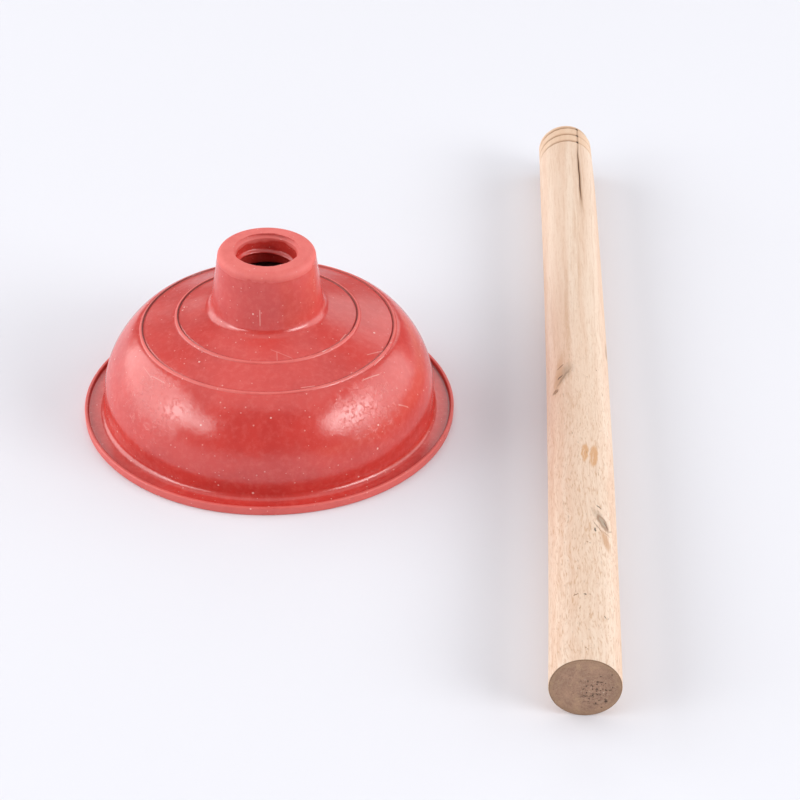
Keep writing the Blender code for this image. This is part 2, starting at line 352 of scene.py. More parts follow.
# %% Store the dust and painted highlight and the painted shade on the vertices and make the cup object
def dust_and_highlight_at(local):
    radius, height = math.hypot(local.x, local.y), local.z
    ragged_edge = 1.1 * MM * noise.noise(local * 130.0) + 0.7 * MM * noise.noise(local * 420.0)
    top = smoothstep(socket_top - 3.5 * MM, socket_top - 2.1 * MM, height + ragged_edge)
    top *= smoothstep(BORE_RADIUS - 0.5 * MM, BORE_RADIUS - 0.1 * MM, radius)
    lip = smoothstep(rim_radius - 1.7 * MM, rim_radius - 0.9 * MM, radius)
    # The back of each bead gets the pale colour: partly dust, partly a painted highlight.
    bead_dust_and_highlight = 0.0
    for ring in BEADS:
        bead_dust_and_highlight = max(bead_dust_and_highlight, 1 - smoothstep(0.4 * MM, 0.62 * MM, abs(radius - ring - 0.08 * MM)))
    bead_dust_and_highlight *= smoothstep(crown_height(radius) - 1.0 * MM, crown_height(radius), height)
    return max(top, 0.6 * lip, 0.9 * bead_dust_and_highlight)


def shade_at(local):
    """Painted shade in the crease inside each bead, behind the lip and in the socket's depth."""
    radius, height = math.hypot(local.x, local.y), local.z
    crease = max(1 - smoothstep(0.12 * MM, 0.4 * MM, abs(radius - ring + 0.6 * MM)) for ring in BEADS)
    crease *= smoothstep(crown_height(radius) - 2.0 * MM, crown_height(radius) - 1.0 * MM, height)
    lip_foot = 1 - smoothstep(0.15 * MM, 0.6 * MM, abs(radius - rim_radius + LIP_THICKNESS + 0.1 * MM))
    lip_foot *= smoothstep(1.0 * MM, 1.4 * MM, height)
    lip_foot *= 1 - smoothstep(LIP_HEIGHT - 0.7 * MM, LIP_HEIGHT, height)
    in_bore = smoothstep(0, 3 * MM, socket_top - BORE_THREAD_DEPTH + 1 * MM - height)
    in_bore *= 1 - smoothstep(CHAMBER_RADIUS, CHAMBER_RADIUS + 1 * MM, radius)
    return max(0.55 * crease, 0.6 * lip_foot, in_bore)


def to_object(shape, name):
    """A finished mesh object, smooth all over, at the world's origin."""
    mesh = bpy.data.meshes.new(name)
    shape.to_mesh(mesh)
    shape.free()
    mesh.shade_smooth()
    obj = bpy.data.objects.new(name, mesh)
    bpy.context.scene.collection.objects.link(obj)
    return obj


dust_and_highlight_layer = cup_shape.verts.layers.float.new("dust_and_highlight")
shade_layer = cup_shape.verts.layers.float.new("shade")
for vertex in cup_shape.verts:
    vertex[dust_and_highlight_layer] = dust_and_highlight_at(vertex.co - cup_center)
    vertex[shade_layer] = shade_at(vertex.co - cup_center)
cup = to_object(cup_shape, "rubber_cup")
print("cup object:", len(cup.data.polygons), "faces")

# %% [markdown]
# ## The handle
# The stick is also a spun outline, about a level axis. It is straight, then tapers a little to its threaded
# tip. The thread is cut by moving vertices inwards wherever they lie close to a helix, and a drying crack
# runs down from the tip. Rows are close together where the thread and the crack need them. Round the stick,
# the columns are gathered towards the crack by a sine, so that the narrow split has enough vertices without
# making the whole stick dense.

# %% Sizes of the handle
TIP_RADIUS = 12.3 * MM
TAPER_LENGTH = 40.0 * MM
FIRST_GROOVE = 2.1 * MM
THREAD_TURNS = 2.35
GROOVE_DEPTH = 0.95 * MM
GROOVE_HALF_WIDTH = 1.15 * MM
CRACK_ANGLE = math.radians(21.0)
CRACK_LENGTH = 71.0 * MM
CRACK_HALF_WIDTH = 0.30 * MM
CRACK_DEPTH = 1.1 * MM
STICK_STEPS = 224
GATHER = 0.62
BUTT_SLANT = 0.4 * MM
BOW_CREST = 150.0 * MM
TIP_LIFT = 1.3 * MM
TIP_SLANT = 0.7 * MM
SANDED_WAVES = 0.09 * MM
SANDED_AWAY = 0.06 * MM
butt_y = stick_low.y
tip_y = stick_high.y


def stick_radius_at(from_tip):
    """Straight, then a slow taper to the tip."""
    share = min(max(from_tip / TAPER_LENGTH, 0.0), 1.0)
    return TIP_RADIUS + (stick_radius - TIP_RADIUS) * share


# %% The handle's outline and spin
def stick_outline():
    """From the middle of the tip to the middle of the butt, as (radius, distance from the tip)."""
    outline = [(0.0, 0.0), (4.0 * MM, 0.0), (8.0 * MM, 0.0), (TIP_RADIUS - 0.9 * MM, 0.0)]
    outline += [(TIP_RADIUS - 0.35 * MM, 0.12 * MM), (TIP_RADIUS - 0.05 * MM, 0.5 * MM)]
    stretches = ((0.3 * MM, 20.0 * MM), (1.2 * MM, 72.0 * MM), (4.0 * MM, stick_length - 1.2 * MM))
    for row_length, stretch_end in stretches:
        start = outline[-1][1]
        rows = round((stretch_end - start) / row_length)
        for row in range(1, rows + 1):
            along = start + (stretch_end - start) * row / rows
            outline.append((stick_radius_at(along), along))
    end = stick_length
    outline += [(stick_radius, end - 0.5 * MM), (stick_radius - 0.12 * MM, end - 0.15 * MM)]
    outline += [(stick_radius - 0.4 * MM, end)]
    outline += [(11.0 * MM, end), (8.0 * MM, end), (4.0 * MM, end), (0.0, end)]
    return outline


stick_shape = spun(stick_outline(), STICK_STEPS, stick_center, (0, 1, 0),
                   lambda radius, along: Vector((stick_center.x, tip_y - along, stick_center.z + radius)))
print("handle:", len(stick_shape.verts), "vertices")

# %% Cut the thread, open the crack and take the machine look away
def groove_depth(angle, from_tip):
    """Depth of the cut thread: right-handed, open at the tip, fading out after the last turn."""
    turn = (from_tip - FIRST_GROOVE) / PITCH + angle / (2 * math.pi)
    nearest = round(turn)
    away = abs(turn - nearest) * PITCH
    along_thread = nearest - angle / (2 * math.pi)
    if away > GROOVE_HALF_WIDTH or along_thread > THREAD_TURNS:
        return 0.0
    fade = 1 - smoothstep(THREAD_TURNS - 0.3, THREAD_TURNS, along_thread)
    return GROOVE_DEPTH * (1 - (away / GROOVE_HALF_WIDTH) ** 2) * fade


def crack_line(from_tip):
    """Angle of the split's middle line, which wanders and leans away near the tip."""
    lean = math.radians(4.0) * (1 - smoothstep(0, 34 * MM, from_tip))
    return CRACK_ANGLE + lean + math.radians(0.9) * noise.noise(Vector((from_tip * 90.0, 2.0, 0.0)))


def crack_depth(angle, from_tip):
    """Depth of the split beside its middle line: fine at the thread, open further down, then closing."""
    if from_tip > CRACK_LENGTH:
        return 0.0
    beside = abs(angle - crack_line(from_tip)) * stick_radius
    opening = smoothstep(18 * MM, 40 * MM, from_tip) * (1 - smoothstep(58 * MM, CRACK_LENGTH, from_tip))
    deep = 0.3 + 0.7 * opening
    width = CRACK_HALF_WIDTH * (0.45 + 0.6 * deep)
    if beside > width:
        return 0.0
    return CRACK_DEPTH * deep * (1 - beside / width)


def crack_stain(angle, from_tip):
    """How far the wood beside the split has browned, up to 1 on its middle line."""
    beside = abs(angle - crack_line(from_tip)) * stick_radius
    ending = 1 - smoothstep(CRACK_LENGTH - 6 * MM, CRACK_LENGTH + 16 * MM, from_tip)
    opening = smoothstep(18 * MM, 40 * MM, from_tip)
    browned = 1 - smoothstep(0.2 * MM, (0.85 + 0.45 * opening) * MM, beside)
    return (0.6 + 0.4 * opening) * ending * browned


def bow(from_butt):
    """How far the warped stick bends sideways: a slow arc whose far half bends more."""
    away = (from_butt - BOW_CREST) / BOW_CREST
    return (0.95 - (1.0 if away < 0 else 0.92) * away * away) * MM


def lift(from_butt):
    """How far the warped stick's far end stands off the table."""
    share = max(0.0, from_butt - BOW_CREST) / (stick_length - BOW_CREST)
    return TIP_LIFT * share * share


def crack_crossings():
    """Where the split crosses the grooves: distance round from the top line and along from the butt."""
    places = []
    for turn in range(3):
        from_tip = FIRST_GROOVE + PITCH * (turn - CRACK_ANGLE / (2 * math.pi))
        angle, from_butt = crack_line(from_tip), stick_length - from_tip
        right = TIP_RADIUS * math.sin(angle) + bow(from_butt)
        up = TIP_RADIUS * math.cos(angle) + lift(from_butt)
        places.append((math.atan2(right, up) * stick_radius, from_butt))
    return places


def shape_stick_vertex(vertex):
    local = vertex.co - stick_center
    radius = math.hypot(local.x, local.z)
    from_tip = tip_y - vertex.co.y
    from_butt = stick_length - from_tip
    if radius < 0.01 * MM:
        vertex.co += Vector((bow(from_butt), 0.0, lift(from_butt)))
        return
    angle = math.atan2(local.x, local.z)
    from_crack = angle - CRACK_ANGLE
    angle = CRACK_ANGLE + from_crack - GATHER * math.sin(from_crack)
    angle = math.remainder(angle, 2 * math.pi)
    on_side = smoothstep(8.0 * MM, TIP_RADIUS - 1.0 * MM, radius)
    filled = 1 - 0.55 * smoothstep(0.0, math.radians(5), angle - crack_line(from_tip))
    thread = groove_depth(angle, from_tip) * on_side * filled
    crack = crack_depth(angle, from_tip) * on_side
    vertex[groove_layer] = min(thread / GROOVE_DEPTH, 1.0)
    vertex[crack_layer] = min(crack / (0.6 * MM), 1.0)
    vertex[stain_layer] = crack_stain(angle, from_tip) * on_side
    depth = thread + crack
    sanding_place = Vector((math.cos(angle) * 1.3, vertex.co.y * 14.0, math.sin(angle) * 1.3))
    hand_sanded = SANDED_WAVES * noise.noise(sanding_place)
    radius += hand_sanded * on_side - depth - SANDED_AWAY
    vertex.co.x = stick_center.x + radius * math.sin(angle) + bow(from_butt)
    vertex.co.z = stick_center.z + radius * math.cos(angle) + lift(from_butt)
    if from_tip > stick_length - 3.0 * MM:
        vertex.co.y += BUTT_SLANT * (0.5 - 0.5 * local.z / stick_radius)
    slanted = (1 - smoothstep(0, 18 * MM, from_tip)) * math.sin(angle) * radius / stick_radius
    vertex.co.y += TIP_SLANT * slanted


groove_layer = stick_shape.verts.layers.float.new("groove")
crack_layer = stick_shape.verts.layers.float.new("crack")
stain_layer = stick_shape.verts.layers.float.new("stain")
for vertex in stick_shape.verts:
    shape_stick_vertex(vertex)
for face in stick_shape.faces:
    middle = face.calc_center_median()
    at_end = min(tip_y - middle.y, middle.y - butt_y) < 2.0 * MM
    face.material_index = 1 if at_end and abs(face.normal.y) > 0.8 else 0
print("handle: thread of", THREAD_TURNS, "turns, crack", CRACK_LENGTH / MM, "mm long")
stick = to_object(stick_shape, "wooden_handle")

# %% [markdown]
# ## Small tools for materials
# A material is a graph of nodes. These helpers add one node or one common step at a time, so that each
# finish below reads as a short recipe. All patterns use Object coordinates in metres, so a scale of 1000
# repeats every millimetre.

# %% Node helpers
class Recipe:
    """One material's node graph, with short ways to add the steps that the finishes share."""

    def __init__(self, name, center):
        self.material = bpy.data.materials.new(name)
        self.material.use_nodes = True
        self.nodes = self.material.node_tree.nodes
        self.links = self.material.node_tree.links
        self.shader = self.nodes["Principled BSDF"]
        coordinates = self.nodes.new("ShaderNodeTexCoord")
        mapping = self.nodes.new("ShaderNodeMapping")
        mapping.inputs["Location"].default_value = -Vector(center)
        self.links.new(coordinates.outputs["Object"], mapping.inputs["Vector"])
        self.place = mapping.outputs["Vector"]

    def add(self, kind, inputs=None, **settings):
        """A node with its settings, and its inputs given as numbers or as other nodes' outputs."""
        made = self.nodes.new(kind)
        for key, value in settings.items():
            setattr(made, key, value)
        for key, value in (inputs or {}).items():
            if isinstance(value, bpy.types.NodeSocket):
                self.links.new(value, made.inputs[key])
            else:
                made.inputs[key].default_value = value
        return made

    def math(self, operation, first, second=0.0, third=0.0):
        return self.add("ShaderNodeMath", {0: first, 1: second, 2: third}, operation=operation).outputs[0]

    def stretch(self, scale, turn=(0, 0, 0), shift=(0, 0, 0), place=None):
        """The coordinates, scaled by a factor for each axis, turned and shifted."""
        inputs = {"Vector": place or self.place, "Scale": scale, "Rotation": turn, "Location": shift}
        return self.add("ShaderNodeMapping", inputs).outputs["Vector"]

    def noise(self, vector, scale=1.0, detail=2.0, roughness=0.5, distortion=0.0):
        inputs = {"Vector": vector, "Scale": scale, "Detail": detail,
                  "Roughness": roughness, "Distortion": distortion}
        return self.add("ShaderNodeTexNoise", inputs).outputs["Fac"]

    def steps(self, value, low, high, to_low=0.0, to_high=1.0):
        """Maps low..high softly to to_low..to_high."""
        inputs = {"Value": value, "From Min": low, "From Max": high,
                  "To Min": to_low, "To Max": to_high}
        return self.add("ShaderNodeMapRange", inputs, interpolation_type="SMOOTHSTEP").outputs["Result"]

    def blend(self, share, first, second, how="MIX"):
        """Mixes two colours; share is a number or a mask."""
        made = self.add("ShaderNodeMix", {0: share}, data_type="RGBA", blend_type=how)
        for index, value in ((6, first), (7, second)):
            if isinstance(value, bpy.types.NodeSocket):
                self.links.new(value, made.inputs[index])
            else:
                made.inputs[index].default_value = (*value, 1.0)
        return made.outputs[2]

    def noise_color(self, vector, detail):
        """Three noises in one, for pushing coordinates about."""
        inputs = {"Vector": vector, "Scale": 1.0, "Detail": detail}
        return self.add("ShaderNodeTexNoise", inputs).outputs["Color"]

    def vector(self, operation, first, second):
        return self.add("ShaderNodeVectorMath", {0: first, 1: second}, operation=operation).outputs[0]

    def attribute(self, name):
        """A number stored on the mesh's vertices."""
        return self.add("ShaderNodeAttribute", attribute_name=name).outputs["Fac"]

    def bump(self, height, strength, distance, below=None):
        inputs = {"Height": height, "Strength": strength, "Distance": distance}
        if below is not None:
            inputs["Normal"] = below
        return self.add("ShaderNodeBump", inputs).outputs["Normal"]

    def finish(self, color, roughness, normal):
        self.links.new(color, self.shader.inputs["Base Color"])
        self.links.new(roughness, self.shader.inputs["Roughness"])
        self.links.new(normal, self.shader.inputs["Normal"])
        return self.material


print("node helpers ready")

# %% [markdown]
# ## Red rubber
# Cured rubber is satin, slightly mottled and never clean. The recipe starts from a warm red with faint
# cloudy changes, adds the pale dust, with the painted highlight on each bead's back, where the vertices ask
# for it, then a few rubbing scratches and small pale specks, and last the painted shade from the vertices.
# The specks come from a Voronoi pattern: about one cell in six shows a tiny dot at its middle.

# %% Rubber
RED = (0.62, 0.047, 0.036)
RED_DEEP = (0.55, 0.039, 0.031)
RED_DUST_AND_HIGHLIGHT = (0.74, 0.140, 0.120)
RED_PAINTED_SHADE = (0.06, 0.006, 0.006)
SPECK = (0.88, 0.50, 0.45)

# Each scratch on the crown and shoulder: its two ends, to the right of the cup's axis and away from the
# viewer, then its half width, all in millimetres, and its strength. Its height follows from the outline.
SCRATCHES = (
    ((6.4, -30.5), (6.9, -34.8), 0.20, 0.32),
    ((4.0, -29.5), (12.5, -32.5), 0.20, 0.28),
    ((24.0, -27.2), (29.0, -20.8), 0.32, 0.65),
    ((30.2, -18.0), (32.0, -13.5), 0.25, 0.45),
    ((17.0, -46.0), (22.0, -44.2), 0.22, 0.45),
    ((41.0, -22.0), (46.5, -17.5), 0.24, 0.45),
    ((44.0, -27.0), (47.5, -20.0), 0.24, 0.45),
    ((40.0, -36.0), (46.0, -30.0), 0.24, 0.55),
    ((54.0, -33.0), (57.5, -29.5), 0.28, 0.55),
    ((-42.0, -36.0), (-36.0, -41.5), 0.25, 0.28),
    ((-46.0, -30.0), (-41.5, -37.5), 0.22, 0.22),
)
# The scratch on the neck: its ends are given to the right of the axis and up.
NECK_SCRATCH = ((-0.9, 58.5), (-0.8, 52.8), 0.26, 0.50)
# Each scuffed patch on the shoulder: its middle and its radius.
SCUFFS = (((-42, -44, 29), 24), ((43, -40, 30), 22))
HEIGHT_WEIGHT = 0.3
# Large and small specks: cells in a metre, the share of cells left empty, dot size in cells, and strength.
SPECKS = ((300.0, 0.86, 0.10, 0.85), (620.0, 0.78, 0.14, 0.42))


def on_cup(right, away):
    """The point of the crown or shoulder above a place in plan, in millimetres."""
    radius = math.hypot(right, away) * MM
    for (inner_r, inner_z), (outer_r, outer_z) in zip(cup_outline, cup_outline[1:]):
        if inner_r <= radius <= outer_r and inner_z > CHANNEL_HEIGHT:
            height = inner_z + (outer_z - inner_z) * (radius - inner_r) / max(outer_r - inner_r, 1e-9)
            return Vector((right, away, height / MM))
    raise ValueError("a scratch lies off the cup")


def on_neck(right, height):
    """The point on the front of the neck at this height, in millimetres."""
    radius = (NECK_RADIUS + NECK_DRAFT * (socket_top - SOCKET_EDGE - height * MM)) / MM
    return Vector((right, -math.sqrt(radius ** 2 - right ** 2), height))


def segment_mask(recipe, start, end, width):
    """1 close to a straight scratch between two points in millimetres. A gap in height counts for less."""
    flatten = Vector((1.0, 1.0, HEIGHT_WEIGHT))
    start, along = start * MM, (end - start) * flatten * MM
    from_start = recipe.vector("MULTIPLY", recipe.vector("SUBTRACT", recipe.place, start), flatten)
    inputs = {0: from_start, 1: along / along.length_squared}
    shadow = recipe.add("ShaderNodeVectorMath", inputs, operation="DOT_PRODUCT").outputs["Value"]
    share = recipe.add("ShaderNodeClamp", {"Value": shadow}).outputs[0]
    nearest = recipe.add("ShaderNodeVectorMath", {0: along, "Scale": share}, operation="SCALE").outputs[0]
    gap = recipe.add("ShaderNodeVectorMath", {0: from_start, 1: nearest}, operation="DISTANCE")
    gap = gap.outputs["Value"]
    return recipe.steps(gap, width * 0.3 * MM, width * MM, 1.0, 0.0)


def scuff_mask(recipe, center, radius):
    """Fine rubbed patches that fade out from a place on the shoulder."""
    inputs = {0: recipe.place, 1: Vector(center) * MM}
    away = recipe.add("ShaderNodeVectorMath", inputs, operation="DISTANCE")
    near = recipe.steps(away.outputs["Value"], radius * 0.35 * MM, radius * MM, 1.0, 0.0)
    rubbed = recipe.noise(recipe.place, 420.0, 6.0, 0.72, 0.6)
    return recipe.math("MULTIPLY", near, recipe.steps(rubbed, 0.48, 0.66))


def speck_mask(recipe, cells_per_metre, chosen_above, size):
    """Tiny dots at the middle of a few Voronoi cells."""
    cells = recipe.add("ShaderNodeTexVoronoi", {"Vector": recipe.place, "Scale": cells_per_metre})
    lot = recipe.add("ShaderNodeSeparateColor", {0: cells.outputs["Color"]})
    chosen = recipe.steps(lot.outputs[0], chosen_above, chosen_above + 0.01)
    reach = recipe.math("MULTIPLY_ADD", lot.outputs[1], size, size * 0.5)
    dots = recipe.math("LESS_THAN", recipe.math("DIVIDE", cells.outputs["Distance"], reach), 1.0)
    return recipe.math("MULTIPLY", dots, chosen)


def make_rubber():
    rubber = Recipe("red_rubber", cup_center)
    clouds = rubber.noise(rubber.place, 55.0, 4.0, 0.55)
    color = rubber.blend(rubber.steps(clouds, 0.35, 0.7), RED, RED_DEEP)
    mottle = rubber.noise(rubber.place, 420.0, 4.0, 0.65)
    color = rubber.blend(rubber.steps(mottle, 0.42, 0.75, 0.0, 0.30), color, RED_DUST_AND_HIGHLIGHT)
    # The vertices' pale share: dust on the socket's top and the lip, dust and a painted highlight on each
    # bead's back.
    dust_and_highlight = rubber.attribute("dust_and_highlight")
    patchy = rubber.noise(rubber.place, 260.0, 4.0, 0.65)
    dust_and_highlight_share = rubber.math("MULTIPLY", dust_and_highlight, rubber.steps(patchy, 0.2, 0.62, 0.55, 1.0))
    thin_dust = rubber.steps(rubber.noise(rubber.place, 90.0, 5.0, 0.7), 0.45, 0.8, 0.0, 0.14)
    scuffs = [scuff_mask(rubber, center, radius) for center, radius in SCUFFS]
    scuffs = rubber.math("MAXIMUM", *scuffs)
    dust_and_highlight_share = rubber.math("MAXIMUM", dust_and_highlight_share, rubber.math("MULTIPLY_ADD", scuffs, 0.30, thin_dust))
    color = rubber.blend(dust_and_highlight_share, color, RED_DUST_AND_HIGHLIGHT)
    lines = [(on_cup(*start), on_cup(*end), *rest) for start, end, *rest in SCRATCHES]
    start, end, *rest = NECK_SCRATCH
    lines.append((on_neck(*start), on_neck(*end), *rest))
    for start, end, half_width, strength in lines:
        scratch = segment_mask(rubber, start, end, half_width)
        color = rubber.blend(rubber.math("MULTIPLY", scratch, strength), color, SPECK)
    for cells_per_metre, chosen_above, size, strength in SPECKS:
        specks = speck_mask(rubber, cells_per_metre, chosen_above, size)
        color = rubber.blend(rubber.math("MULTIPLY", specks, strength), color, SPECK)
    # Painted shade from the vertices: the bead creases, the lip's inner foot and the socket's depth go nearly
    # black.
    color = rubber.blend(rubber.attribute("shade"), color, RED_PAINTED_SHADE)
    satin = rubber.steps(dust_and_highlight_share, 0.0, 0.9, 0.18, 0.62)
    roughness = rubber.math("ADD", satin, rubber.math("MULTIPLY", clouds, 0.10))
    grain = rubber.noise(rubber.place, 1500.0, 3.0, 0.6)
    fine = rubber.bump(grain, 0.14, 0.0001)
    uneven = rubber.bump(rubber.noise(rubber.place, 230.0, 4.0, 0.6), 0.14, 0.0008, fine)
    wrinkled = rubber.bump(scuffs, 0.35, 0.0002, uneven)
    rubber.shader.inputs["Specular IOR Level"].default_value = 0.85
    return rubber.finish(color, roughness, wrinkled)


cup.data.materials.append(make_rubber())
print("rubber:", len(cup.data.materials[0].node_tree.nodes), "nodes")

# %% [markdown]
# ## Pale wood
# The stick is a pale hardwood, sanded and left bare. Seen along the grain it has broad, faint bands, fine
# lengthwise fibres and short dark pores. The knots are small dark eyes with brown rings, each painted as a
# few soft ellipses. The sawn ends show the same wood cut across, so they are darker, browner and full of
# pores. That needs a second material on the end faces.

# %% Colours of the wood and the list of its marks
CREAM = (0.73, 0.520, 0.385)
PALE = (0.79, 0.620, 0.490)
TAN = (0.56, 0.325, 0.190)
BROWN = (0.28, 0.15, 0.085)
GREY_BROWN = (0.33, 0.215, 0.140)
GREY = (0.42, 0.325, 0.24)
HONEY = (0.61, 0.325, 0.155)
DARK = (0.06, 0.032, 0.02)
RUBBED = (0.72, 0.48, 0.31)
GROOVE_BROWN = (0.36, 0.20, 0.115)
STAIN_BROWN = (0.40, 0.225, 0.13)
CRACK_BROWN = (0.11, 0.055, 0.03)

# Each mark: colour, strength, place round the stick from its top line and along it from the butt, half
# width, half length, tilt in degrees, and how soft its edge is. Lengths are in millimetres.
WOOD_MARKS = (
    (BROWN, 0.30, -7.4, 177.0, 3.0, 9.5, -20, 0.95),
    (GREY_BROWN, 0.50, -6.0, 178.5, 4.2, 8.5, -28, 0.9),
    (TAN, 0.75, -8.4, 180.0, 3.2, 19.0, -8, 0.9),
    (GREY_BROWN, 0.75, -6.1, 176.2, 0.8, 6.8, -34, 0.7),
    (BROWN, 0.80, -7.4, 184.5, 0.6, 2.0, -62, 0.6),
    (DARK, 0.85, -7.8, 177.3, 0.5, 1.8, -55, 0.6),
    (BROWN, 0.85, -10.2, 169.0, 1.9, 1.5, 0, 0.6),
    (HONEY, 0.60, -9.9, 168.6, 0.5, 0.5, 0, 0.5),
    (DARK, 0.90, -9.3, 168.2, 0.32, 0.45, 0, 0.5),
    (TAN, 0.30, -3.6, 159.0, 0.9, 8.5, 12, 0.9),
    (TAN, 0.30, -0.2, 159.0, 0.9, 8.0, -12, 0.9),
    (BROWN, 0.70, 7.8, 182.3, 0.32, 0.5, 0, 0.6),
    (BROWN, 0.50, 3.8, 174.9, 0.3, 0.5, 0, 0.6),
    (BROWN, 0.45, -3.1, 135.2, 0.3, 0.8, 0, 0.6),
    (BROWN, 0.45, 12.6, 139.8, 0.35, 0.6, 0, 0.6),
    (BROWN, 0.60, 15.8, 206.0, 1.6, 7.5, 0, 0.8),
    (HONEY, 0.90, 1.7, 121.6, 1.45, 6.2, -3, 0.5),
    (HONEY, 0.88, 5.2, 120.6, 1.75, 8.0, -4, 0.5),
    (PALE, 0.45, 1.2, 121.0, 0.25, 5.0, 0, 0.8),
    (PALE, 0.40, 4.7, 119.0, 0.25, 5.5, -2, 0.8),
    (BROWN, 0.45, 2.3, 122.0, 0.35, 1.4, 10, 0.7),
    (DARK, 0.75, 6.4, 88.5, 0.35, 1.4, 58, 0.6),
    (GREY_BROWN, 0.45, 6.6, 82.0, 2.4, 6.0, 30, 0.8),
    (BROWN, 0.75, 7.8, 79.6, 2.2, 4.6, 24, 0.45),
    (GREY, 0.90, 7.6, 80.2, 1.15, 2.4, 24, 0.35),
    (DARK, 0.60, 9.0, 79.0, 0.35, 2.2, 24, 0.6),
    (BROWN, 0.55, 5.3, 76.0, 0.4, 3.6, 34, 0.7),
    (BROWN, 0.50, 8.9, 74.3, 0.4, 2.6, 82, 0.7),
    (BROWN, 0.45, 11.2, 77.6, 0.35, 2.0, -40, 0.7),
    (DARK, 0.85, 4.4, 74.0, 0.38, 1.4, 12, 0.5),
    (TAN, 0.90, 8.8, 69.5, 2.4, 7.0, 12, 0.9),
    (BROWN, 0.60, 1.5, 65.8, 0.35, 0.35, 0, 0.5),
    (BROWN, 0.60, 2.3, 65.1, 0.45, 0.3, 0, 0.5),
    (BROWN, 0.80, -3.4, 35.4, 0.35, 1.2, -64, 0.6),
    (DARK, 0.80, -0.1, 35.4, 0.55, 0.5, 0, 0.6),
    (BROWN, 0.40, 1.5, 35.4, 0.6, 0.35, 0, 0.7),
    (DARK, 0.80, 6.7, 25.1, 0.35, 0.8, 14, 0.6),
    (BROWN, 0.65, -0.5, 6.3, 0.4, 0.35, 0, 0.6),
    (BROWN, 0.65, 0.1, 5.6, 0.4, 0.3, 0, 0.6),
    (BROWN, 0.35, 1.4, 6.3, 0.6, 0.3, 0, 0.6),
)
print("wood:", len(WOOD_MARKS), "marks")


# %% Wood along the grain
def unrolled(recipe):
    """The stick's side laid flat, in millimetres: x round from the top line, y along from the butt."""
    axes = recipe.add("ShaderNodeSeparateXYZ", {0: recipe.place})
    angle = recipe.math("ARCTAN2", axes.outputs[0], axes.outputs[2])
    around = recipe.math("MULTIPLY", angle, stick_radius / MM)
    along = recipe.math("MULTIPLY_ADD", axes.outputs[1], 1 / MM, stick_length / 2 / MM)
    return recipe.add("ShaderNodeCombineXYZ", {0: around, 1: along}).outputs[0]


def mark_mask(recipe, chart, around, along, half_width, half_length, tilt, softness):
    """1 inside a small tilted ellipse on the unrolled side, 0 outside."""
    inputs = {
        "Vector": chart,
        "Location": (around, along, 0),
        "Rotation": (0, 0, math.radians(tilt)),
        "Scale": (half_width, half_length, 1),
    }
    inside = recipe.add("ShaderNodeMapping", inputs, vector_type="TEXTURE").outputs[0]
    away = recipe.add("ShaderNodeVectorMath", {0: inside}, operation="LENGTH").outputs["Value"]
    return recipe.steps(away, 1.15 - softness, 1.15, 1.0, 0.0)


